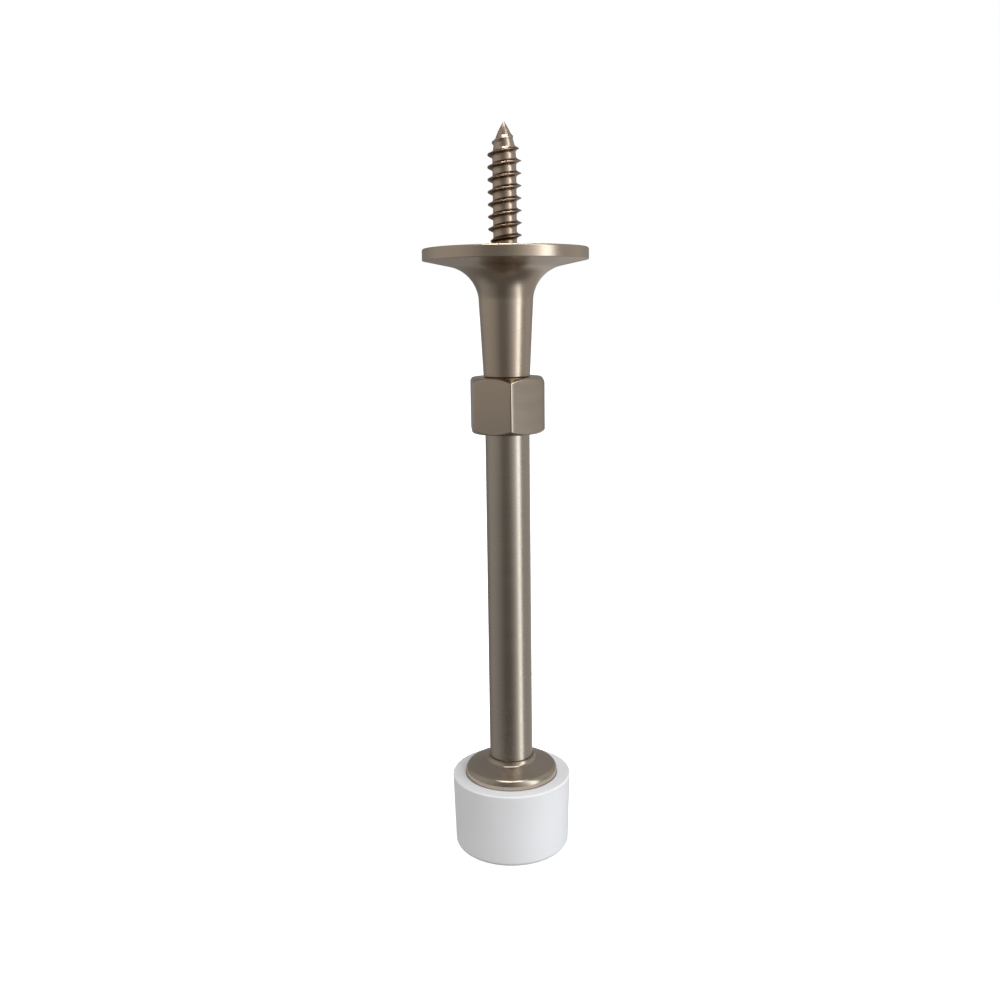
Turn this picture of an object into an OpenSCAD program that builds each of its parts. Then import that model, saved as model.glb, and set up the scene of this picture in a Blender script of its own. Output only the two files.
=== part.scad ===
// Adjustable rigid door stop. A wood screw fixes the flanged base, a threaded stud joins the base
// to a round rod, a tall hexagon nut locks the length, and a rubber tip meets the door.
// Frame: origin at the centre of the flange's mounting face, +Z along the wood screw, so that the
// rod and the rubber tip hang below the origin. Lengths in millimetres, depths measured down from Z = 0.

/* [Flanged base] */
// Diameter of the mounting flange
flange_d = 29.3; // [26:0.1:32]
// Height of the flange's rim
rim_h = 2.05; // [1.6:0.05:2.4]
// Slope of the flange's front from the rim to the flare, in degrees
rim_slope = 12; // [8:1:14]
// Depth from the mounting face to the end of the neck
base_h = 22.4; // [21:0.1:26]
// Diameter of the neck where the flare runs into it
neck_top_d = 9.6; // [9:0.1:11]
// Diameter of the neck at its end
neck_end_d = 8.3; // [8:0.1:9]
// Radius of the flare between the flange and the neck
flare_r = 6.4; // [5:0.1:6.6]

/* [Hanger bolt] */
// Length of the wood thread that stands out of the flange
screw_len = 21.5; // [18:0.1:30]
// Major diameter of the wood thread
screw_d = 5.9; // [5:0.1:6]
// Core diameter of the wood thread
screw_core_d = 4.15; // [3.6:0.05:4.4]
// Pitch of the wood thread
screw_pitch = 2.1; // [1.8:0.1:2.6]
// Length of the gimlet point
screw_point = 6.8; // [5:0.1:8]
// Diameter of the machine-threaded end inside the base
machine_d = 6; // [5:0.5:6]
// Length of the machine-threaded end inside the base
machine_len = 9.4; // [6:0.1:10]

/* [Stud and nut] */
// Major diameter of the stud's thread
stud_d = 5; // [4:0.5:5]
// Pitch of the stud's thread
stud_pitch = 0.8; // [0.7:0.1:0.8]
// Length of stud held in the neck
stud_in_neck = 9.8; // [8:0.1:10]
// Length of stud inside the rod when the stop is at its shortest
stud_in_rod = 33; // [30:1:36]
// Size of the nut across its flats
nut_af = 12.7; // [12:0.1:13.2]
// Height of the nut
nut_h = 9.7; // [8:0.1:11]
// Turn of the nut about the axis, in degrees from a corner facing -Y
nut_turn = 5; // [0:1:59]

/* [Rod and foot] */
// Diameter of the rod
rod_d = 8; // [7.6:0.1:8.2]
// Length of the rod
rod_len = 61.2; // [55:0.1:80]
// Diameter of the foot's rim
foot_d = 17.1; // [15:0.1:17.4]
// Height of the foot above the rubber
foot_h = 3.5; // [3.2:0.1:4]
// Diameter of the foot's collar, round the end of the rod
collar_d = 8.7; // [8.4:0.1:9]
// Slope of the foot's skirt, in degrees
skirt_slope = 20; // [16:0.5:25]

/* [Rubber tip] */
// Diameter of the tip at its top
tip_top_d = 22.15; // [21.5:0.05:24]
// Diameter of the tip at the face that meets the door
tip_end_d = 21.3; // [20:0.1:22]
// Height of the tip
tip_h = 13.8; // [12:0.1:15]
// Rounding of the tip's lower edge
tip_edge_r = 0.9; // [0.5:0.1:1.5]

/* [Hidden] */

$fn = 96;
fit = 0.05;        // radial clearance of a shaft or thread in its hole
face_gap = 0.2;    // gap on each side of the nut
soft_gap = 0.1;    // gap between the metal foot and the rubber that grips it
edge = 0.3;        // small turned chamfers
lead_in = 0.35;    // width of the countersink at the mouth of a tapped hole
drill_over = 0.6;  // how much deeper a blind hole is than the thread in it
metal = "#8f8676";
bolt_metal = "#a08c78";
rubber = "#e6e5e6";

nut_z = -(base_h + face_gap + nut_h);             // lower face of the nut
rod_top_z = nut_z - face_gap;
rod_end_z = rod_top_z - rod_len;
rubber_z = rod_end_z - foot_h;                    // flat ring of rubber round the foot
tip_z = rubber_z - tip_h;                         // face that meets the door

rod_bore_over = 2.5;                              // how much deeper the rod's hole is than the stud
rod_bore = stud_in_rod + rod_bore_over;
thread_depth = 0.61;                              // of a metric thread, as a share of its pitch
nut_chamfer = 35;                                 // slope of the nut's chamfers, in degrees
nut_corner_break = 0.06;                          // how far the nut's corners are turned down
m4_r = 2;                                         // foot screw
m4_len = 11;
m4_head_r = 3.75;
m4_head_h = 2.2;
m4_key = 2.5;                                     // its hexagon key, across the flats
m4_key_depth = 1.5;
m4_hole_r = m4_r + 0.15;                          // clearance hole through the foot
seat_h = 0.7;                                     // foot rim sunk in the rubber
groove_h = 1.8;                                   // groove that the rubber's lip fills
groove_r = 7.2;
retainer_h = 3;                                   // flange below the groove
retainer_r = 8.2;
retainer_bevel = 0.8;                             // lets the rubber snap on
tip_top_r = 0.4;                                  // rounding of the tip's upper edge
foot_bottom_z = rubber_z - seat_h - groove_h - retainer_h;

// Points of an arc about c, from angle a0 to a1, in n steps
function arc(c, r, a0, a1, n) =
    [for (i = [0:n]) let (a = a0 + (a1 - a0) * i / n) c + r * [cos(a), sin(a)]];

// A cylinder from z0 up to z1
module rod_between(r, z0, z1) {
    translate([0, 0, z0])
        cylinder(r = r, h = z1 - z0);
}

// A cone-ended countersink of radius r at height z, opening upwards (up = 1) or downwards (up = -1)
module countersink(r, z, up) {
    translate([0, 0, z])
        rotate([up > 0 ? 180 : 0, 0, 0])
            translate([0, 0, -0.01])
                cylinder(r1 = r + 0.01, r2 = 0, h = r + 0.01);
}

// ---- hanger bolt: wood thread outside, machine thread in the base ----

shoulder_z = -0.5;                                // step between the two threads, sunk in the base
thread_sides = 24;
thread_rows = 4;                                  // one crest row, then three at the core
thread_turns = ceil(screw_len / screw_pitch) + 1;
run_out = 1.5;                                    // bare stretch of the point, with no thread
fade = 4;                                         // stretch before it where the ridge dies away

function core_r(z) =
    let (u = (z - screw_len + screw_point) / screw_point)
    screw_core_d / 2 * (u > 0 ? 1 - pow(u, 2.3) : 1);
function ridge(z) =
    (screw_d - screw_core_d) / 2
    * min(1, max(0, z / screw_pitch))
    * min(1, max(0, (screw_len - run_out - z) / fade));

// Height of grid point (i, j): rows follow the helix, so i = thread_sides is row j + thread_rows
function thread_z(i, j) = screw_pitch * (j / thread_rows - 1 + i / thread_sides);
function thread_point(i, j) =
    let (z = thread_z(i, j), a = 360 * i / thread_sides + 180,
         r = core_r(z) + (j % thread_rows == 2 ? ridge(z) : 0))
    [r * cos(a), r * sin(a), z];
// Index of a grid point: the base ring comes first, then the apex, then the grid
function thread_id(i, j) =
    i == thread_sides ? thread_id(0, j + thread_rows)
    : thread_z(i, j) < 0.001 ? i
    : thread_z(i, j) > screw_len - 0.05 ? thread_sides
    : thread_sides + 1 + j * thread_sides + i;
function is_triangle(t) = t[0] != t[1] && t[1] != t[2] && t[2] != t[0];

module wood_thread() {
    rows = thread_rows * (thread_turns + 1);
    base_ring = [for (i = [0:thread_sides - 1])
        let (a = 360 * i / thread_sides + 180)
        [core_r(0) * cos(a), core_r(0) * sin(a), shoulder_z]];
    apex = [[0, 0, screw_len]];
    grid = [for (j = [0:rows], i = [0:thread_sides - 1])
        thread_z(i, j) > 0 && thread_z(i, j) < screw_len ? thread_point(i, j) : apex[0]];
    sides = [for (j = [0:rows - 1], i = [0:thread_sides - 1], half = [0, 1])
        let (a = thread_id(i, j), b = thread_id(i + 1, j),
             c = thread_id(i + 1, j + 1), d = thread_id(i, j + 1),
             t = half == 0 ? [a, c, b] : [a, d, c])
        if (is_triangle(t)) t];
    polyhedron(points = concat(base_ring, apex, grid),
               faces = concat([[for (i = [0:thread_sides - 1]) i]], sides));
}

module hanger_bolt() {
    color(bolt_metal) {
        wood_thread();
        rotate_extrude()
            polygon([[0, shoulder_z], [machine_d / 2, shoulder_z],
                     [machine_d / 2, edge - machine_len],
                     [machine_d / 2 - edge, -machine_len], [0, -machine_len]]);
    }
}

// ---- flanged base ----

module base_outline() {
    flange_r = flange_d / 2;
    flare_c = [neck_top_d / 2 + flare_r, -rim_h - (flange_r - neck_top_d / 2 - flare_r)
               * tan(rim_slope) - flare_r / cos(rim_slope)];
    polygon(concat(
        [[0, 0], [flange_r - edge, 0], [flange_r, -edge], [flange_r, -rim_h]],
        arc(flare_c, flare_r, 90 + rim_slope, 180, 14),
        [[neck_end_d / 2, edge - base_h], [neck_end_d / 2 - edge, -base_h], [0, -base_h]]));
}

module base_flange() {
    color(metal)
        difference() {
            rotate_extrude()
                base_outline();
            rod_between(machine_d / 2 + fit, -machine_len - drill_over, 1);
            countersink(machine_d / 2 + fit + lead_in, 0, 1);
            rod_between(stud_d / 2 + fit, -base_h - 1, stud_in_neck + drill_over - base_h);
            countersink(stud_d / 2 + fit + lead_in, -base_h, -1);
        }
}

// ---- adjusting stud: fixed in the neck, it passes through the nut into the rod ----

module adjusting_stud() {
    root_r = stud_d / 2 - thread_depth * stud_pitch;
    stud_top = stud_in_neck - base_h;
    stud_end = rod_top_z - stud_in_rod;
    turns = floor((stud_top - stud_end) / stud_pitch) - 1;
    color(bolt_metal)
        rotate_extrude()
            polygon(concat(
                [[0, stud_end], [root_r, stud_end]],
                [for (k = [0:turns - 1], p = [[root_r, 0.1], [stud_d / 2, 0.45], [stud_d / 2, 0.55]])
                    [p[0], stud_end + (k + 0.4 + p[1]) * stud_pitch]],
                [[root_r, stud_top], [0, stud_top]]));
}

// ---- lock nut ----

module nut_blank() {
    corner_r = nut_af / sqrt(3);
    chamfer_r = nut_af / 2 - 0.2;
    drop = (corner_r - chamfer_r) * tan(nut_chamfer);
    turned_r = corner_r - nut_corner_break;
    intersection() {
        translate([0, 0, nut_z])
            rotate([0, 0, nut_turn - 90])
                cylinder(r = corner_r, h = nut_h, $fn = 6);
        rotate_extrude()
            polygon([[0, nut_z], [chamfer_r, nut_z], [turned_r, nut_z + drop],
                     [turned_r, nut_z + nut_h - drop], [chamfer_r, nut_z + nut_h],
                     [0, nut_z + nut_h]]);
    }
}

module lock_nut() {
    color(metal)
        difference() {
            nut_blank();
            rod_between(stud_d / 2 + fit, nut_z - 1, nut_z + nut_h + 1);
            countersink(stud_d / 2 + fit + lead_in, nut_z + nut_h, 1);
            countersink(stud_d / 2 + fit + lead_in, nut_z, -1);
        }
}

// ---- rod, tapped at both ends ----

module stop_rod() {
    rod_r = rod_d / 2;
    color(metal)
        difference() {
            rotate_extrude()
                polygon([[0, rod_top_z], [rod_r - edge, rod_top_z], [rod_r, rod_top_z - edge],
                         [rod_r, rod_end_z], [0, rod_end_z]]);
            rod_between(stud_d / 2 + fit, rod_top_z - rod_bore, rod_top_z + 1);
            countersink(stud_d / 2 + fit + lead_in, rod_top_z, 1);
            rod_between(m4_r + fit, rod_end_z - 1, rod_end_z + m4_len);
        }
}

// ---- turned foot that carries the rubber ----

module foot_outline() {
    rim_r = foot_d / 2;
    collar_h = 0.08;
    cove_r = 0.7;
    rim_edge_r = 1.1;
    cove_c = [collar_d / 2 + cove_r, rod_end_z - collar_h];
    skirt_top = cove_c - cove_r * [sin(skirt_slope), cos(skirt_slope)];
    edge_x = rim_r - rim_edge_r;
    skirt_drop = (edge_x + rim_edge_r * sin(skirt_slope) - skirt_top[0]) * tan(skirt_slope);
    edge_c = [edge_x, skirt_top[1] - skirt_drop - rim_edge_r * cos(skirt_slope)];
    polygon(concat(
        [[0, rod_end_z], [collar_d / 2, rod_end_z]],
        arc(cove_c, cove_r, 180, 270 - skirt_slope, 6),
        arc(edge_c, rim_edge_r, 90 - skirt_slope, 0, 9),
        [[rim_r, rubber_z - seat_h], [groove_r, rubber_z - seat_h],
         [groove_r, rubber_z - seat_h - groove_h], [retainer_r, rubber_z - seat_h - groove_h],
         [retainer_r, foot_bottom_z + retainer_bevel],
         [retainer_r - retainer_bevel, foot_bottom_z], [0, foot_bottom_z]]));
}

module rod_foot() {
    color(metal)
        difference() {
            rotate_extrude()
                foot_outline();
            rod_between(m4_hole_r, foot_bottom_z - 1, rod_end_z + 1);
            translate([0, 0, foot_bottom_z])
                cylinder(r1 = m4_head_r + fit, r2 = m4_hole_r, h = m4_head_h);
        }
}

module foot_screw() {
    head_z = foot_bottom_z + fit;
    color(bolt_metal)
        difference() {
            rotate_extrude()
                polygon([[0, head_z], [m4_head_r - 0.1, head_z], [m4_r, head_z + m4_head_h - 0.2],
                         [m4_r, rod_end_z + m4_len - 1], [m4_r - 0.5, rod_end_z + m4_len - 0.5],
                         [0, rod_end_z + m4_len - 0.5]]);
            translate([0, 0, head_z - 0.01])
                cylinder(r = m4_key / sqrt(3), h = m4_key_depth, $fn = 6);
        }
}

// ---- rubber tip, snapped over the foot ----

module rubber_tip() {
    end_r = tip_end_d / 2;
    lip_r = groove_r + soft_gap;
    seat_r = foot_d / 2 + soft_gap;
    seat_z = rubber_z - seat_h - soft_gap;
    color(rubber)
        rotate_extrude()
            polygon(concat(
                [[0, tip_z]],
                arc([end_r - tip_edge_r, tip_z + tip_edge_r], tip_edge_r, 270, 358, 6),
                arc([tip_top_d / 2 - tip_top_r, rubber_z - tip_top_r], tip_top_r, 0, 90, 4),
                [[seat_r, rubber_z], [seat_r, seat_z], [lip_r, seat_z],
                 [lip_r, seat_z - groove_h + 2 * soft_gap],
                 [retainer_r + soft_gap, seat_z - groove_h + 2 * soft_gap],
                 [retainer_r + soft_gap, foot_bottom_z - soft_gap],
                 [0, foot_bottom_z - soft_gap]]));
}

hanger_bolt();
base_flange();
adjusting_stud();
lock_nut();
stop_rod();
rod_foot();
foot_screw();
rubber_tip();
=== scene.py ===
"""Looks of the adjustable door stop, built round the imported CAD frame.

Every visible CAD node is replaced by a finer mesh of the same shape: turned parts with rounded edges,
true helical threads and a nut with blended chamfers. Lengths are in metres, and radii and lengths that
the frame's boxes don't give are named here in millimetres times MM.
"""

import math

import bpy
from mathutils import Matrix, Vector


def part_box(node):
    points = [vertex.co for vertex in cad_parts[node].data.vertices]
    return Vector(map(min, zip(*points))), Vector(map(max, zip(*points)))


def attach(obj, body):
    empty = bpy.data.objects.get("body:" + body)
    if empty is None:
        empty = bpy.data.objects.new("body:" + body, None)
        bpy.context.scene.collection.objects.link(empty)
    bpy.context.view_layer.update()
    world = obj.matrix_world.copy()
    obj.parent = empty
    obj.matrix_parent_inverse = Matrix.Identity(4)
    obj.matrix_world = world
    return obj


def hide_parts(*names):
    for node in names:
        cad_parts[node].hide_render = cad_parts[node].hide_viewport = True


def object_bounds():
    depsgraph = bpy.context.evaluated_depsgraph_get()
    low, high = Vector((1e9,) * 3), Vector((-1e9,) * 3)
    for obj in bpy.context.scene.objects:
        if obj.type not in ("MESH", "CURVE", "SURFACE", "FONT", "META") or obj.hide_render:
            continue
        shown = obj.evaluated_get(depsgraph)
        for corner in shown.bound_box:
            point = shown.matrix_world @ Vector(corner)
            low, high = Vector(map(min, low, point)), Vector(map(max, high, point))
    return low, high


MM = 0.001
ON_AXIS = 0.0001 * MM  # a radius below this counts as zero
SHARP = 0.05 * MM  # rounding of a hard machined edge
BROKEN = 0.1 * MM  # rounding of an edge that is broken a little more

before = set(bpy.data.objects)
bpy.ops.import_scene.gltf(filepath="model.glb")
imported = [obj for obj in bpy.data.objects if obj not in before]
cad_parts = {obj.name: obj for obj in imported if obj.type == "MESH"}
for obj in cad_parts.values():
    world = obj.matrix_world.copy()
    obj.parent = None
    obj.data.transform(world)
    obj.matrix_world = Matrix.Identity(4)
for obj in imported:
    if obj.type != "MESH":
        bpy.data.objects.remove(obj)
cad_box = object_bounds()
scene = bpy.context.scene


# ---------------------------------------------------------------- mesh helpers


def add_piece(name, points, faces, body, nodes, material):
    """A smooth-shaded mesh that rides on a body and stands for CAD nodes."""
    mesh = bpy.data.meshes.new(name)
    mesh.from_pydata(points, [], faces)
    mesh.validate()
    mesh.shade_smooth()
    mesh.materials.append(material)
    piece = bpy.data.objects.new(name, mesh)
    scene.collection.objects.link(piece)
    weighted = piece.modifiers.new("weighted_normals", "WEIGHTED_NORMAL")
    weighted.mode = "FACE_AREA"
    weighted.keep_sharp = True
    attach(piece, body)
    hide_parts(*nodes)
    return piece


def rounded(corners, steps=5):
    """An outline through (radius, height, fillet) corners, with an arc at each filleted corner."""
    points = []
    for i, (x, y, fillet) in enumerate(corners):
        here = Vector((x, y))
        if fillet <= 0 or i in (0, len(corners) - 1):
            points.append((x, y))
            continue
        back = (Vector(corners[i - 1][:2]) - here).normalized()
        on = (Vector(corners[i + 1][:2]) - here).normalized()
        half = back.angle(on) / 2
        reach = fillet / math.tan(half)
        centre = here + (back + on).normalized() * fillet / math.sin(half)
        start = here + back * reach - centre
        end = here + on * reach - centre
        for k in range(steps + 1):
            spoke = start.lerp(end, k / steps).normalized() * fillet
            points.append(tuple(centre + spoke))
    return points


def arc(cx, cy, radius, start, end, steps):
    """(radius, height) points of an arc about (cx, cy), with angles in degrees."""
    angles = [math.radians(start + (end - start) * k / steps) for k in range(steps + 1)]
    return [(cx + radius * math.cos(a), cy + radius * math.sin(a)) for a in angles]


def turned(profile, sides=192, closed=False):
    """Points and faces of a solid of revolution about Z.

    The profile starts and ends on the axis. With closed it is a loop away from the axis, round a bore.
    """
    points, rings = [], []
    for radius, height in profile:
        start = len(points)
        if radius < ON_AXIS:
            points.append((0, 0, height))
            rings.append([start] * sides)
            continue
        for k in range(sides):
            a = 2 * math.pi * k / sides
            points.append((radius * math.cos(a), radius * math.sin(a), height))
        rings.append([start + k for k in range(sides)])
    if closed:
        rings.append(rings[0])
    return points, stitched(rings)


def distinct(corners):
    """A face's vertex numbers without repeats."""
    return list(dict.fromkeys(corners))


def stitched(rings):
    """Faces between neighbouring rings of vertex numbers, with repeated corners dropped."""
    faces = []
    for lower, upper in zip(rings, rings[1:]):
        for k in range(len(lower)):
            n = (k + 1) % len(lower)
            face = distinct((lower[k], upper[k], upper[n], lower[n]))
            if len(face) > 2:
                faces.append(face)
    return faces


def threaded(low, high, pitch, tooth, core, ridge, sides, start=0.0, first=None):
    """Points and faces of a right-hand screw about Z between two heights.

    tooth is (share of the pitch, share of the ridge) rows. core gives the core's radius at a height,
    and ridge the thread's depth there. The rows follow the helix, so crests and roots stay sharp.
    start turns the helix, in radians, and first is the height where a tooth begins at that angle.
    """
    rows = len(tooth)
    near = 0.002 * pitch  # a point this close to an end joins the end's ring
    turns = math.ceil((high - low) / pitch) + 3
    first = low if first is None else first

    def height(i, j):
        return first + pitch * (j // rows - 2 + tooth[j % rows][0] + i / sides)

    points = []

    def vertex(i, z, share):
        a = 2 * math.pi * i / sides + start
        r = core(z) + share * ridge(z)
        points.append((r * math.cos(a), r * math.sin(a), z))
        return len(points) - 1

    bottom = [vertex(i, low, 0) for i in range(sides)]
    top = (
        [vertex(i, high, 0) for i in range(sides)]
        if core(high) > ON_AXIS
        else [vertex(0, high, 0)] * sides
    )
    known = {}

    def number(i, j):
        if i == sides:
            return number(0, j + rows)
        z = height(i, j)
        if z < low + near:
            return bottom[i]
        if z > high - near:
            return top[i]
        if (i, j) not in known:
            known[i, j] = vertex(i, z, tooth[j % rows][1])
        return known[i, j]

    faces = []
    for j in range(rows * turns):
        for i in range(sides):
            corners = (number(i, j), number(i + 1, j), number(i + 1, j + 1), number(i, j + 1))
            face = distinct(corners)
            if len(face) > 2:
                faces.append(face)
    faces.append(bottom[::-1])
    if len(set(top)) > 2:
        faces.append(top)
    return points, faces


# ---------------------------------------------------------------- materials

NOISE_LOW, NOISE_HIGH = 0.3, 0.7  # most of a noise's values lie between these
# Painted shade on a thread's flanks, inside and outside, standing in for the shade in its creases: the
# share of the thread's depth where it starts, the share where it is full, and the darkness that is left
# before it starts
PAINTED_FLANK_SHADE_FADES = ((0.02, 0.3, 0.0), (0.97, 0.72, 0.35))
PAINTED_CREASE_SHADE = (0.42, 0.36, 0.31)  # painted shade: what a thread's flanks are multiplied by


class Nodes:
    """Short calls for building one material's node tree."""

    def __init__(self, name):
        self.material = bpy.data.materials.new(name)
        self.material.use_nodes = True
        self.tree = self.material.node_tree
        self.shader = self.tree.nodes["Principled BSDF"]
        self.place = self.add("ShaderNodeTexCoord").outputs["Object"]

    def add(self, kind, **settings):
        node = self.tree.nodes.new(kind)
        for key, value in settings.items():
            setattr(node, key, value)
        return node

    def link(self, source, target):
        self.tree.links.new(source, target)

    def stretched(self, x, y, z):
        """Object coordinates scaled along each axis, in cycles a metre."""
        mapping = self.add("ShaderNodeMapping")
        mapping.inputs["Scale"].default_value = (x, y, z)
        self.link(self.place, mapping.inputs["Vector"])
        return mapping.outputs["Vector"]

    def radius(self):
        """Distance from the axis."""
        flat = self.add("ShaderNodeVectorMath", operation="MULTIPLY")
        flat.inputs[1].default_value = (1, 1, 0)
        self.link(self.place, flat.inputs[0])
        length = self.add("ShaderNodeVectorMath", operation="LENGTH")
        self.link(flat.outputs["Vector"], length.inputs[0])
        return length.outputs["Value"]

    def turning(self, around, along):
        """Coordinates that change fast across the lathe's marks and slowly round the axis.

        The fast one is radius minus height, so rings show on a rod, a cone and a flat face alike.
        """
        split = self.add("ShaderNodeSeparateXYZ")
        self.link(self.place, split.inputs[0])
        path = self.add("ShaderNodeMath", operation="SUBTRACT")
        self.link(self.radius(), path.inputs[0])
        self.link(split.outputs["Z"], path.inputs[1])
        out = self.add("ShaderNodeCombineXYZ")
        for axis, source, scale in (
            ("X", split.outputs["X"], around),
            ("Y", split.outputs["Y"], around),
            ("Z", path.outputs[0], along),
        ):
            times = self.add("ShaderNodeMath", operation="MULTIPLY")
            times.inputs[1].default_value = scale
            self.link(source, times.inputs[0])
            self.link(times.outputs[0], out.inputs[axis])
        return out.outputs[0]

    def noise(self, vector, scale=1.0, detail=3.0, roughness=0.5):
        node = self.add("ShaderNodeTexNoise")
        node.inputs["Scale"].default_value = scale
        node.inputs["Detail"].default_value = detail
        node.inputs["Roughness"].default_value = roughness
        self.link(vector, node.inputs["Vector"])
        return node.outputs["Fac"]

    def between(self, value, low, high):
        """A noise spread over low to high."""
        node = self.add("ShaderNodeMapRange")
        node.inputs["From Min"].default_value = NOISE_LOW
        node.inputs["From Max"].default_value = NOISE_HIGH
        node.inputs["To Min"].default_value = low
        node.inputs["To Max"].default_value = high
        self.link(value, node.inputs["Value"])
        return node.outputs["Result"]

    def mixed(self, factor, first, second):
        """A colour between two colours."""
        node = self.add("ShaderNodeMix", data_type="RGBA")
        node.inputs["A"].default_value = (*first, 1)
        node.inputs["B"].default_value = (*second, 1)
        self.link(factor, node.inputs["Factor"])
        return node.outputs["Result"]

    def painted_shade_band(self, core, crest):
        """Painted shade: 1 on a thread's flanks, 0 at the core's radius and about a third at the
        crest's.
        """
        radius = self.radius()
        shares = []
        for start, end, least in PAINTED_FLANK_SHADE_FADES:
            node = self.add("ShaderNodeMapRange", interpolation_type="SMOOTHSTEP")
            node.inputs["From Min"].default_value = core + start * (crest - core)
            node.inputs["From Max"].default_value = core + end * (crest - core)
            node.inputs["To Min"].default_value = least
            self.link(radius, node.inputs["Value"])
            shares.append(node.outputs["Result"])
        both = self.add("ShaderNodeMath", operation="MULTIPLY")
        self.link(shares[0], both.inputs[0])
        self.link(shares[1], both.inputs[1])
        return both.outputs[0]

    def shaded(self, colour, factor, shade):
        """A colour that factor takes towards colour times shade."""
        node = self.add("ShaderNodeMix", data_type="RGBA", blend_type="MULTIPLY")
        self.link(colour, node.inputs["A"])
        node.inputs["B"].default_value = (*shade, 1)
        self.link(factor, node.inputs["Factor"])
        return node.outputs["Result"]

    def bump(self, heights, strength, distance):
        """Bump from several (value, share) heights added together; distance is in metres."""
        total = None
        for value, share in heights:
            times = self.add("ShaderNodeMath", operation="MULTIPLY")
            times.inputs[1].default_value = share
            self.link(value, times.inputs[0])
            if total is None:
                total = times.outputs[0]
                continue
            plus = self.add("ShaderNodeMath", operation="ADD")
            self.link(total, plus.inputs[0])
            self.link(times.outputs[0], plus.inputs[1])
            total = plus.outputs[0]
        node = self.add("ShaderNodeBump")
        node.inputs["Strength"].default_value = strength
        node.inputs["Distance"].default_value = distance
        self.link(total, node.inputs["Height"])
        self.link(node.outputs["Normal"], self.shader.inputs["Normal"])


# Noise frequencies in cycles a metre: X, Y, Z for clouds and grain, round and along for turned rings
METAL_CLOUDS = (140, 140, 90)
METAL_GRAIN = (9000, 9000, 9000)
FINE_RINGS = (60, 5200)
BROAD_RINGS = (30, 420)
METAL_BUMP, METAL_RELIEF = 0.5, 0.01 * MM


def metal(name, light, dark, smooth, rough, marks, grain, ridge=None):
    """Plated metal: its colour drifts from light to dark, and its roughness follows the lathe's marks.

    marks and grain are the shares of turned rings and of fine grain in the bump. ridge is the radii of
    a thread's core and crest: painted shade darkens the flanks between them, as shade in the creases.
    """
    n = Nodes(name)
    cloud = n.noise(n.stretched(*METAL_CLOUDS), detail=4)
    rings = n.noise(n.turning(*FINE_RINGS), detail=2, roughness=0.6)
    broad = n.noise(n.turning(*BROAD_RINGS), detail=2)
    fine = n.noise(n.stretched(*METAL_GRAIN), detail=2)
    colour = n.mixed(n.between(cloud, 0, 1), light, dark)
    if ridge:
        # painted shade in the thread's creases
        colour = n.shaded(colour, n.painted_shade_band(*ridge), PAINTED_CREASE_SHADE)
    n.link(colour, n.shader.inputs["Base Color"])
    n.link(n.between(broad, smooth, rough), n.shader.inputs["Roughness"])
    n.bump([(rings, marks), (fine, grain)], METAL_BUMP, METAL_RELIEF)
    n.shader.inputs["Metallic"].default_value = 1.0
    return n.material


# The rubber's noise frequencies in cycles a metre, its tones, its skin and how deep light goes in
RUBBER_CLOUDS = (90, 90, 90)
RUBBER_SKIN = (2600, 2600, 2600)
RUBBER_WAVES = (220, 220, 120)
RUBBER_LIGHT = (0.80, 0.80, 0.815)
RUBBER_DARK = (0.765, 0.765, 0.775)
RUBBER_SMOOTH, RUBBER_ROUGH = 0.44, 0.56
SKIN_SHARE, WAVE_SHARE = 0.5, 2.0
RUBBER_BUMP, RUBBER_RELIEF = 0.35, 0.02 * MM
SCATTER_WEIGHT, SCATTER_DEPTH = 0.12, 1.2 * MM
SCATTER_TINT = (1.0, 0.9, 0.8)
RUBBER_SHINE = 0.35


def rubber(name):
    """Matt off-white moulded rubber with a faint orange-peel skin."""
    n = Nodes(name)
    cloud = n.noise(n.stretched(*RUBBER_CLOUDS), detail=4)
    skin = n.noise(n.stretched(*RUBBER_SKIN), detail=3)
    waves = n.noise(n.stretched(*RUBBER_WAVES), detail=2)
    tone = n.mixed(n.between(cloud, 0, 1), RUBBER_LIGHT, RUBBER_DARK)
    n.link(tone, n.shader.inputs["Base Color"])
    n.link(n.between(skin, RUBBER_SMOOTH, RUBBER_ROUGH), n.shader.inputs["Roughness"])
    n.bump([(skin, SKIN_SHARE), (waves, WAVE_SHARE)], RUBBER_BUMP, RUBBER_RELIEF)
    n.shader.inputs["Subsurface Weight"].default_value = SCATTER_WEIGHT
    n.shader.inputs["Subsurface Radius"].default_value = SCATTER_TINT
    n.shader.inputs["Subsurface Scale"].default_value = SCATTER_DEPTH
    n.shader.inputs["Specular IOR Level"].default_value = RUBBER_SHINE
    return n.material


WOOD_D = 5.9 * MM
WOOD_CORE_D = 4.15 * MM

# light tone, dark tone, least and most roughness, share of turned rings, share of grain
nickel = metal("satin_nickel_base", (0.64, 0.53, 0.43), (0.61, 0.50, 0.40), 0.25, 0.31, 1.0, 0.6)
rod_nickel = metal("satin_nickel_rod", (0.61, 0.54, 0.455), (0.58, 0.51, 0.43), 0.25, 0.30, 1.0, 0.6)
# The foot's nickel is a darker copy of the same metal: painted shade, so its sloping skirt reads darker
foot_nickel_painted_shade = metal("satin_nickel_foot_painted_shade", (0.58, 0.50, 0.415), (0.54, 0.465, 0.38), 0.23, 0.28, 1.0, 0.6)
nut_nickel = metal("satin_nickel_nut", (0.60, 0.505, 0.41), (0.58, 0.485, 0.39), 0.13, 0.17, 0.1, 0.6)
bolt_metal = metal("plated_bolt_steel", (0.62, 0.51, 0.42), (0.50, 0.405, 0.325), 0.24, 0.33, 0.2, 0.8)
# wood_radii sets where painted shade darkens the wood screw's flanks, in the creases between its turns
wood_radii = (WOOD_CORE_D / 2, WOOD_D / 2)
screw_light, screw_dark = (0.66, 0.53, 0.42), (0.50, 0.395, 0.31)
screw_metal = metal("plated_wood_screw", screw_light, screw_dark, 0.24, 0.33, 0.2, 0.8, wood_radii)
white_rubber = rubber("white_rubber")


# ---------------------------------------------------------------- flanged base

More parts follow.
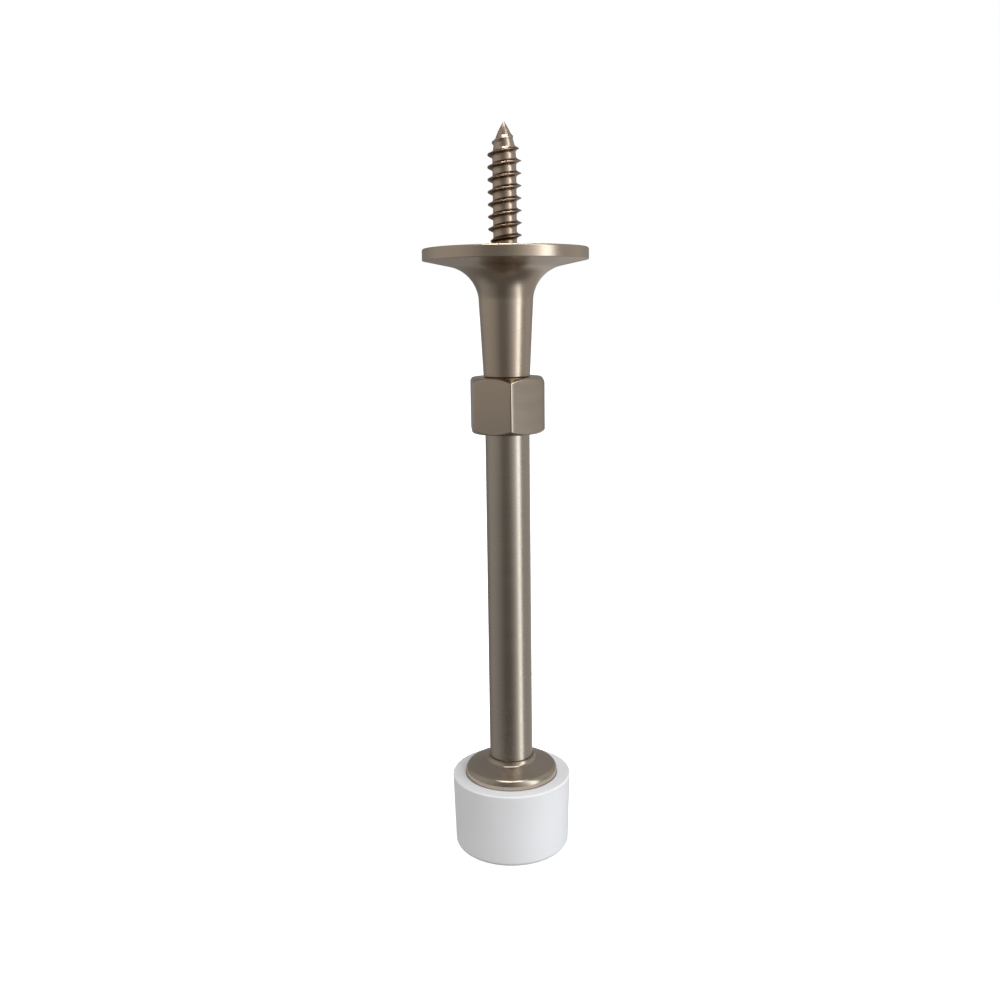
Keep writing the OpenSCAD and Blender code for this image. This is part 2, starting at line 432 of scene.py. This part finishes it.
base_low, base_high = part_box("base_flange")
flange_r = base_high.x
RIM_H = 2.05 * MM
RIM_SLOPE = math.radians(12)
NECK_TOP_R = 4.8 * MM
NECK_END_R = 4.15 * MM
FLARE_R = 6.4 * MM
RIM_TOP_FILLET = 0.32 * MM
RIM_LOW_FILLET = 0.12 * MM
NECK_FILLET = 0.2 * MM
SCREW_HOLE_R = 3.05 * MM
SCREW_SINK = 0.4 * MM  # chamfer of the hole for the hanger bolt
SINK_FILLET = 0.08 * MM
STUD_HOLE_R = 2.55 * MM
STUD_SINK = 0.35 * MM  # chamfer of each hole for the stud
DRILL_OVER = 0.6 * MM  # how much deeper a hole in the base is than what it holds
BOLT_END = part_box("hanger_bolt")[0].z
STUD_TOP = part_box("adjusting_stud")[1].z


def flanged_base():
    """The base as one turned piece: flange, trumpet flare, tapered neck and a hole from each end."""
    flare_x = NECK_TOP_R + FLARE_R
    flare_z = (
        -RIM_H
        - (flange_r - flare_x) * math.tan(RIM_SLOPE)
        - FLARE_R / math.cos(RIM_SLOPE)
    )
    flare = arc(flare_x, flare_z, FLARE_R, 90 + math.degrees(RIM_SLOPE), 180, 40)
    bottom = base_low.z
    rim = rounded(
        [
            (0, BOLT_END - DRILL_OVER, 0),
            (SCREW_HOLE_R, BOLT_END - DRILL_OVER, BROKEN),
            (SCREW_HOLE_R, -SCREW_SINK, SHARP),
            (SCREW_HOLE_R + SCREW_SINK, 0, SINK_FILLET),
            (flange_r, 0, RIM_TOP_FILLET),
            (flange_r, -RIM_H, RIM_LOW_FILLET),
            (*flare[0], 0),
        ]
    )
    end = rounded(
        [
            (*flare[-1], 0),
            (NECK_END_R, bottom, NECK_FILLET),
            (STUD_HOLE_R + STUD_SINK, bottom, SHARP),
            (STUD_HOLE_R, bottom + STUD_SINK, SHARP),
            (STUD_HOLE_R, STUD_TOP + DRILL_OVER, BROKEN),
            (0, STUD_TOP + DRILL_OVER, 0),
        ]
    )
    points, faces = turned(rim[:-1] + flare + end[1:])
    add_piece("flanged_base", points, faces, "wall_side", ["base_flange"], nickel)


# ---------------------------------------------------------------- hanger bolt and stud

bolt_low, bolt_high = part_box("hanger_bolt")
WOOD_PITCH = 2.1 * MM
WOOD_START = 0.15 * MM  # height where a tooth begins at the left
POINT = 6.8 * MM
POINT_CURVE = 2.3  # power of the point's outline: 1 would be a cone
BARE_POINT = 1.5 * MM
FADE = 4 * MM  # length over which the thread dies out at the point
SHOULDER_Z = -0.5 * MM
MACHINE_D, MACHINE_PITCH, MACHINE_DEPTH = 6.0 * MM, 1.0 * MM, 0.61 * MM
STUD_PITCH, STUD_DEPTH = 0.8 * MM, 0.49 * MM
THREAD_LEAD = 0.5 * MM  # length over which a machine thread runs out at its end
# (share of the pitch, share of the ridge): a narrow crest with hollow flanks, then a flat root
WOOD_TOOTH = [
    (0.0, 0.0),
    (0.17, 0.0),
    (0.25, 0.06),
    (0.34, 0.30),
    (0.42, 0.72),
    (0.475, 1.0),
    (0.525, 1.0),
    (0.58, 0.72),
    (0.66, 0.30),
    (0.75, 0.06),
    (0.83, 0.0),
]
MACHINE_TOOTH = [(0.05, 0.0), (0.42, 1.0), (0.52, 1.0), (0.89, 0.0)]


def wood_screw():
    """The wood thread above the flange, with its run-out at the shoulder and its gimlet point."""
    length = bolt_high.z

    def core(z):
        u = max(0.0, (z - length + POINT) / POINT)
        return WOOD_CORE_D / 2 * (1 - u**POINT_CURVE)

    def ridge(z):
        rise = min(1.0, max(0.0, z / WOOD_PITCH))
        fall = min(1.0, max(0.0, (length - BARE_POINT - z) / FADE))
        return (WOOD_D - WOOD_CORE_D) / 2 * rise * fall

    points, faces = threaded(
        SHOULDER_Z, length, WOOD_PITCH, WOOD_TOOTH, core, ridge, 96, math.pi, WOOD_START
    )
    add_piece("wood_screw", points, faces, "wall_side", ["hanger_bolt"], screw_metal)


def machine_end():
    """The hanger bolt's machine thread inside the base, with a chamfer at its end."""

    def core(z):
        chamfer = max(0.0, bolt_low.z + THREAD_LEAD - z)
        return MACHINE_D / 2 - MACHINE_DEPTH - chamfer

    def ridge(z):
        return MACHINE_DEPTH

    points, faces = threaded(
        bolt_low.z, SHOULDER_Z, MACHINE_PITCH, MACHINE_TOOTH, core, ridge, 64
    )
    add_piece("machine_end", points, faces, "wall_side", ["hanger_bolt"], screw_metal)


def adjusting_stud():
    """The stud between the base and the rod, with a real thread that runs out at both ends."""
    low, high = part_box("adjusting_stud")

    def core(z):
        return high.x - STUD_DEPTH

    def ridge(z):
        return STUD_DEPTH * min(1.0, (z - low.z) / THREAD_LEAD, (high.z - z) / THREAD_LEAD)

    points, faces = threaded(low.z, high.z, STUD_PITCH, MACHINE_TOOTH, core, ridge, 56)
    add_piece("threaded_stud", points, faces, "wall_side", ["adjusting_stud"], bolt_metal)


# ---------------------------------------------------------------- lock nut

NUT_AF = 12.7 * MM
NUT_TURN = math.radians(5 - 90)  # a corner stands 5 degrees to the right of the front
NUT_CORNER_R = 0.35 * MM
NUT_CHAMFER = math.radians(35)
NUT_CHAMFER_R = NUT_AF / 2 - 0.2 * MM  # radius of the flat face inside the chamfer
NUT_EDGE_R = 0.25 * MM  # largest rounding between the chamfer and the sides
NUT_FACE_R = 0.12 * MM
NUT_BORE_R = 2.55 * MM
NUT_SINK = 0.45 * MM
NUT_BORE_SHOWN = 2 * MM  # how far the mesh goes into the bore, which the stud fills
NUT_GAP = 0.15 * MM  # the CAD nut is clear of its neighbours by more than this
NUT_FAN, NUT_FAN_CURVE = 14, 2.2  # steps from a corner to a flat's middle, closer at the corner


def hexagon_radius(angle):
    """Distance from the axis to a hexagon with rounded corners; angle is from a corner."""
    flat = NUT_AF / 2
    a = abs((angle + math.pi / 6) % (math.pi / 3) - math.pi / 6)
    centre = (flat - NUT_CORNER_R) / math.cos(math.pi / 6)
    on_arc = NUT_CORNER_R**2 - (centre * math.sin(a)) ** 2
    to_flat = flat / math.cos(math.pi / 6 - a)
    if on_arc <= 0:
        return to_flat
    return min(to_flat, centre * math.cos(a) + math.sqrt(on_arc))


def nut_outline(side, low, high):
    """The nut's outline in one direction, where side is the hexagon's radius there."""
    drop = (side - NUT_CHAMFER_R) * math.tan(NUT_CHAMFER)
    edge = min(NUT_EDGE_R, 1.2 * drop)
    return rounded(
        [
            (NUT_BORE_R, high - NUT_BORE_SHOWN, 0),
            (NUT_BORE_R, high - NUT_SINK, SHARP),
            (NUT_BORE_R + NUT_SINK, high, SHARP),
            (NUT_CHAMFER_R, high, NUT_FACE_R),
            (side, high - drop, edge),
            (side, low + drop, edge),
            (NUT_CHAMFER_R, low, NUT_FACE_R),
            (NUT_BORE_R + NUT_SINK, low, SHARP),
            (NUT_BORE_R, low + NUT_SINK, SHARP),
            (NUT_BORE_R, low + NUT_BORE_SHOWN, 0),
        ],
        steps=3,
    )


def hex_nut():
    """The lock nut: outlines side by side round the axis, closest together at the corners."""
    low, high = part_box("lock_nut")
    shares = [(k / NUT_FAN) ** NUT_FAN_CURVE for k in range(NUT_FAN + 1)]
    fan = sorted({round(s * 30 * share, 4) for share in shares for s in (-1, 1)})
    angles = [60 * corner + a for corner in range(6) for a in fan[:-1]]
    points, columns = [], []
    for degrees in angles:
        angle = math.radians(degrees)
        turn = angle + NUT_TURN
        column = []
        for radius, height in nut_outline(hexagon_radius(angle), low.z - NUT_GAP, high.z + NUT_GAP):
            column.append(len(points))
            points.append((radius * math.cos(turn), radius * math.sin(turn), height))
        columns.append(column)
    faces = []
    for one, other in zip(columns, columns[1:] + columns[:1]):
        for k in range(len(one)):
            n = (k + 1) % len(one)
            faces.append([one[k], one[n], other[n], other[k]])
    add_piece("hex_lock_nut", points, faces, "nut", ["lock_nut"], nut_nickel)


# ---------------------------------------------------------------- rod, foot and rubber

rod_low, rod_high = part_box("stop_rod")
foot_low, foot_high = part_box("rod_foot")
tip_low, tip_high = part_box("rubber_tip")
ROD_BORE = 35.5 * MM
ROD_TOP_FILLET, ROD_END_FILLET = 0.25 * MM, 0.15 * MM
KEY_HOLE_R, KEY_HOLE = 2.05 * MM, 11 * MM  # the rod's hole for the foot screw
FOOT_HOLE_R, SCREW_HEAD_R, SCREW_HEAD_H = 2.15 * MM, 3.8 * MM, 2.2 * MM
COLLAR_R, COLLAR_H, COLLAR_FILLET = 4.35 * MM, 0.57 * MM, 0.04 * MM
SKIRT_SLOPE = math.radians(20)
COVE_R, RIM_R = 0.7 * MM, 1.1 * MM
RIM_IN = 0.7 * MM  # how far the foot's rim goes into the rubber
GROOVE_R, GROOVE_IN = 7.2 * MM, 2.5 * MM
FLANGE_R, FLANGE_FILLET = 8.2 * MM, 0.8 * MM  # the hidden flange that holds the rubber
SOFT_GAP = 0.1 * MM  # between the foot and the rubber that grips it
TIP_END_R, TIP_END_FILLET, TIP_TOP_FILLET = 10.65 * MM, 0.9 * MM, 0.28 * MM
SEAT_GAP, SEAT_FILLET, SOCKET_FILLET = 0.04 * MM, 0.15 * MM, 0.3 * MM


def round_rod():
    """The rod, with its hole for the stud and its hole for the foot screw."""
    r, top, end = rod_high.x, rod_high.z, rod_low.z
    bore = top - ROD_BORE
    profile = rounded(
        [
            (0, bore, 0),
            (STUD_HOLE_R, bore, BROKEN),
            (STUD_HOLE_R, top - STUD_SINK, SHARP),
            (STUD_HOLE_R + STUD_SINK, top, SHARP),
            (r, top, ROD_TOP_FILLET),
            (r, end, ROD_END_FILLET),
            (KEY_HOLE_R, end, SHARP),
            (KEY_HOLE_R, end + KEY_HOLE, BROKEN),
            (0, end + KEY_HOLE, 0),
        ]
    )
    points, faces = turned(profile)
    add_piece("round_rod", points, faces, "rod", ["stop_rod"], rod_nickel)


def trumpet_foot():
    """The foot: a collar, a cove, a sloping skirt with a round rim, and a flange inside the rubber."""
    rubber_z, top, bottom = tip_high.z, foot_high.z, foot_low.z
    rim_r = foot_high.x
    skirt_z = top - COLLAR_H
    rim_z = skirt_z - (rim_r - COLLAR_R) * math.tan(SKIRT_SLOPE)
    profile = rounded(
        [
            (FOOT_HOLE_R, top, 0),
            (COLLAR_R, top, COLLAR_FILLET),
            (COLLAR_R, skirt_z, COVE_R),
            (rim_r, rim_z, RIM_R),
            (rim_r, rubber_z - RIM_IN, BROKEN),
            (GROOVE_R, rubber_z - RIM_IN, BROKEN),
            (GROOVE_R, rubber_z - GROOVE_IN, BROKEN),
            (FLANGE_R, rubber_z - GROOVE_IN, BROKEN),
            (FLANGE_R, bottom, FLANGE_FILLET),
            (SCREW_HEAD_R, bottom, SHARP),
            (FOOT_HOLE_R, bottom + SCREW_HEAD_H, 0),
        ],
        steps=14,
    )
    points, faces = turned(profile, closed=True)
    add_piece("trumpet_foot", points, faces, "rod", ["rod_foot"], foot_nickel_painted_shade)


def rubber_buffer():
    """The rubber: a slightly tapered body, a seat for the foot's rim and a socket for its flange."""
    top, end = tip_high.z, tip_low.z
    seat_r = foot_high.x + SEAT_GAP
    lip_r, socket_r = GROOVE_R + SOFT_GAP, FLANGE_R + SOFT_GAP
    floor_z = foot_low.z - SOFT_GAP
    profile = rounded(
        [
            (0, end, 0),
            (TIP_END_R, end, TIP_END_FILLET),
            (tip_high.x, top, TIP_TOP_FILLET),
            (seat_r, top, SEAT_FILLET),
            (seat_r, top - RIM_IN - SOFT_GAP, SHARP),
            (lip_r, top - RIM_IN - SOFT_GAP, BROKEN),
            (lip_r, top - GROOVE_IN + SOFT_GAP, BROKEN),
            (socket_r, top - GROOVE_IN + SOFT_GAP, BROKEN),
            (socket_r, floor_z, SOCKET_FILLET),
            (0, floor_z, 0),
        ],
        steps=8,
    )
    points, faces = turned(profile)
    add_piece("rubber_buffer", points, faces, "bumper", ["rubber_tip"], white_rubber)


flanged_base()
wood_screw()
machine_end()
adjusting_stud()
hex_nut()
round_rod()
trumpet_foot()
rubber_buffer()

foot_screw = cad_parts["foot_screw"]
foot_screw.data.materials.clear()
foot_screw.data.materials.append(bolt_metal)


# ---------------------------------------------------------------- floor, lights and camera

FLOOR_SIZE = 30.0
FLOOR_GAP = 0.05 * MM
FLOOR_TONES = (0.80, 0.80, 0.80), (0.84, 0.84, 0.84)
FLOOR_GLOW = 0.85  # keeps the floor as pale as the backdrop


def pale_floor():
    """A pale floor under the tip. It goes with the tip when the stop is screwed out."""
    n = Nodes("pale_floor")
    speckle = n.noise(n.stretched(60, 60, 60), detail=3)
    n.link(n.mixed(speckle, *FLOOR_TONES), n.shader.inputs["Base Color"])
    n.shader.inputs["Roughness"].default_value = 0.9
    n.shader.inputs["Emission Color"].default_value = (1, 1, 1, 1)
    n.shader.inputs["Emission Strength"].default_value = FLOOR_GLOW
    half = FLOOR_SIZE / 2
    z = tip_low.z - FLOOR_GAP
    mesh = bpy.data.meshes.new("floor")
    corners = [(-half, -half, z), (half, -half, z), (half, half, z), (-half, half, z)]
    mesh.from_pydata(corners, [], [(0, 1, 2, 3)])
    mesh.materials.append(n.material)
    floor = bpy.data.objects.new("floor", mesh)
    scene.collection.objects.link(floor)
    floor.visible_glossy = False
    floor.visible_diffuse = False
    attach(floor, "bumper")


def softbox(name, azimuth, elevation, distance, width, height, power, colour=(1, 1, 1), shine=False):
    """An area light that faces the middle of the stop. Azimuth 0 is -Y, and 90 is +X, in degrees.

    With shine it is only seen in reflections. Without, it only lights matt surfaces, so just the rubber.
    """
    middle = (cad_box[0] + cad_box[1]) / 2
    a, e = math.radians(azimuth), math.radians(elevation)
    towards = Vector((math.sin(a) * math.cos(e), -math.cos(a) * math.cos(e), math.sin(e)))
    data = bpy.data.lights.new(name, "AREA")
    data.shape = "RECTANGLE"
    data.size, data.size_y = width, height
    data.energy = power
    data.color = colour
    light = bpy.data.objects.new(name, data)
    light.location = middle + towards * distance
    light.rotation_mode = "QUATERNION"
    light.rotation_quaternion = (-towards).to_track_quat("-Z", "Y")
    light.visible_camera = False
    light.visible_glossy = shine
    light.visible_diffuse = not shine
    scene.collection.objects.link(light)


# Light round the stop: azimuth in degrees (0 is the front, 90 the right), strength, tint. The tall soft
# strip stands at 51 to 64 degrees, and its image goes on in the table below.
WARM, PLAIN, COOL = (1.0, 0.965, 0.91), (1.0, 0.985, 0.96), (0.93, 0.975, 1.0)
ROOM = [
    (-180, 0.22, PLAIN),
    (-140, 0.26, PLAIN),
    (-110, 0.40, PLAIN),
    (-75, 0.42, WARM),
    (-48, 0.37, WARM),
    (-26, 0.18, WARM),
    (2, 0.19, WARM),
    (20, 0.40, PLAIN),
    (38, 0.74, PLAIN),
    (46, 1.10, COOL),
    (51, 2.45, COOL),
    (64, 2.70, COOL),
    (67, 0.50, COOL),
    (74, 0.31, PLAIN),
    (82, 0.36, PLAIN),
    (115, 0.46, PLAIN),
    (140, 0.34, PLAIN),
    (180, 0.22, PLAIN),
]
TABLE = [
    (-180, 0.30, PLAIN),
    (-166, 0.22, PLAIN),
    (-140, 0.18, PLAIN),
    (-110, 0.32, PLAIN),
    (-75, 0.27, PLAIN),
    (-48, 0.18, PLAIN),
    (-26, 0.105, WARM),
    (2, 0.115, WARM),
    (20, 0.23, PLAIN),
    (38, 0.55, PLAIN),
    (46, 0.85, COOL),
    (51, 1.75, COOL),
    (64, 1.95, COOL),
    (67, 0.50, COOL),
    (74, 0.32, PLAIN),
    (82, 0.37, PLAIN),
    (115, 0.36, PLAIN),
    (145, 0.40, PLAIN),
    (162, 0.60, PLAIN),
    (180, 0.30, PLAIN),
]
CEILING = (0.17, 0.165, 0.16)
SHADE = (0.12, 0.115, 0.11)
# Sines of the elevation between which the table, the shade under the stop and the ceiling take over
TABLE_FROM, TABLE_TO = -0.04, -0.22
SHADE_FROM, SHADE_TO = -0.6, -0.88
CEILING_FROM, CEILING_TO = 0.8, 0.97
ROOM_SCALE = 3.0


def studio():
    """A white backdrop for the camera, and a room with a tall soft strip for light and reflections."""
    world = bpy.data.worlds.new("studio")
    scene.world = world
    world.use_nodes = True
    tree = world.node_tree
    tree.nodes.clear()

    def add(kind, **settings):
        node = tree.nodes.new(kind)
        for key, value in settings.items():
            setattr(node, key, value)
        return node

    def blend(socket, start, stop):
        node = add("ShaderNodeMapRange", interpolation_type="SMOOTHSTEP")
        node.inputs["From Min"].default_value = start
        node.inputs["From Max"].default_value = stop
        tree.links.new(socket, node.inputs["Value"])
        return node.outputs["Result"]

    def plain_light(colour):
        node = add("ShaderNodeBackground")
        node.inputs["Color"].default_value = (*colour, 1)
        return node

    def light_round(stops, around):
        """A background whose colour is a ramp over the azimuth."""
        node = add("ShaderNodeValToRGB")
        ramp = node.color_ramp
        for k, (azimuth, strength, tint) in enumerate(stops):
            position = 0.5 + azimuth / 360
            element = ramp.elements[k] if k < 2 else ramp.elements.new(position)
            element.position = position
            element.color = (*(c * strength / ROOM_SCALE for c in tint), 1)
        tree.links.new(around, node.inputs["Fac"])
        light = add("ShaderNodeBackground")
        light.inputs["Strength"].default_value = ROOM_SCALE
        tree.links.new(node.outputs["Color"], light.inputs["Color"])
        return light

    def mix(factor, first, second):
        node = add("ShaderNodeMixShader")
        tree.links.new(factor, node.inputs["Fac"])
        tree.links.new(first.outputs[0], node.inputs[1])
        tree.links.new(second.outputs[0], node.inputs[2])
        return node

    split = add("ShaderNodeSeparateXYZ")
    tree.links.new(add("ShaderNodeTexCoord").outputs["Generated"], split.inputs[0])
    forward = add("ShaderNodeMath", operation="MULTIPLY")
    forward.inputs[1].default_value = -1
    tree.links.new(split.outputs["Y"], forward.inputs[0])
    angle = add("ShaderNodeMath", operation="ARCTAN2")
    tree.links.new(split.outputs["X"], angle.inputs[0])
    tree.links.new(forward.outputs[0], angle.inputs[1])
    around = add("ShaderNodeMath", operation="MULTIPLY_ADD")
    around.inputs[1].default_value = 0.5 / math.pi
    around.inputs[2].default_value = 0.5
    tree.links.new(angle.outputs[0], around.inputs[0])

    height = split.outputs["Z"]
    room, table = (light_round(stops, around.outputs[0]) for stops in (ROOM, TABLE))
    surroundings = mix(blend(height, TABLE_FROM, TABLE_TO), room, table)
    surroundings = mix(blend(height, SHADE_FROM, SHADE_TO), surroundings, plain_light(SHADE))
    surroundings = mix(blend(height, CEILING_FROM, CEILING_TO), surroundings, plain_light(CEILING))
    backdrop = plain_light((1, 1, 1))
    seen = mix(add("ShaderNodeLightPath").outputs["Is Camera Ray"], surroundings, backdrop)
    tree.links.new(seen.outputs[0], add("ShaderNodeOutputWorld").inputs["Surface"])


EYE = Vector((-1.44, -184.3, -10.44)) * MM
PITCH, ROLL = math.radians(8.92), math.radians(-0.76)
LENS, SENSOR = 37.0, 36
SHIFT = -0.03
CLIP = 0.01, 50


def photo_camera():
    """The camera at the photo's angle: above the nut, looking slightly down, rolled under a degree."""
    ahead = Vector((0, math.cos(PITCH), -math.sin(PITCH)))
    level = Vector((1, 0, 0))
    over = Vector((0, math.sin(PITCH), math.cos(PITCH)))
    right = level * math.cos(ROLL) + over * math.sin(ROLL)
    up = over * math.cos(ROLL) - level * math.sin(ROLL)
    data = bpy.data.cameras.new("photo_camera")
    data.sensor_width = SENSOR
    data.lens = LENS
    data.shift_y = SHIFT
    data.clip_start, data.clip_end = CLIP
    camera = bpy.data.objects.new("photo_camera", data)
    axes = Matrix((right, up, -ahead)).transposed().to_4x4()
    camera.matrix_world = Matrix.Translation(EYE) @ axes
    scene.collection.objects.link(camera)
    scene.camera = camera


pale_floor()
studio()
# azimuth, elevation, distance, width, height, power, tint
softbox("overhead", 0, 89, 0.60, 0.28, 0.12, 1.7, shine=True)
softbox("fill_right", 36, 16, 0.80, 0.9, 0.9, 4.8, (0.97, 0.98, 1.0))
softbox("fill_left", -84, 8, 0.80, 0.9, 0.9, 4.1, (1.0, 1.0, 0.99))
softbox("fill_top", 80, 74, 0.80, 0.7, 0.7, 3.2, (0.99, 0.99, 1.0))
photo_camera()

scene.view_settings.view_transform = "Standard"
scene.view_settings.look = "None"
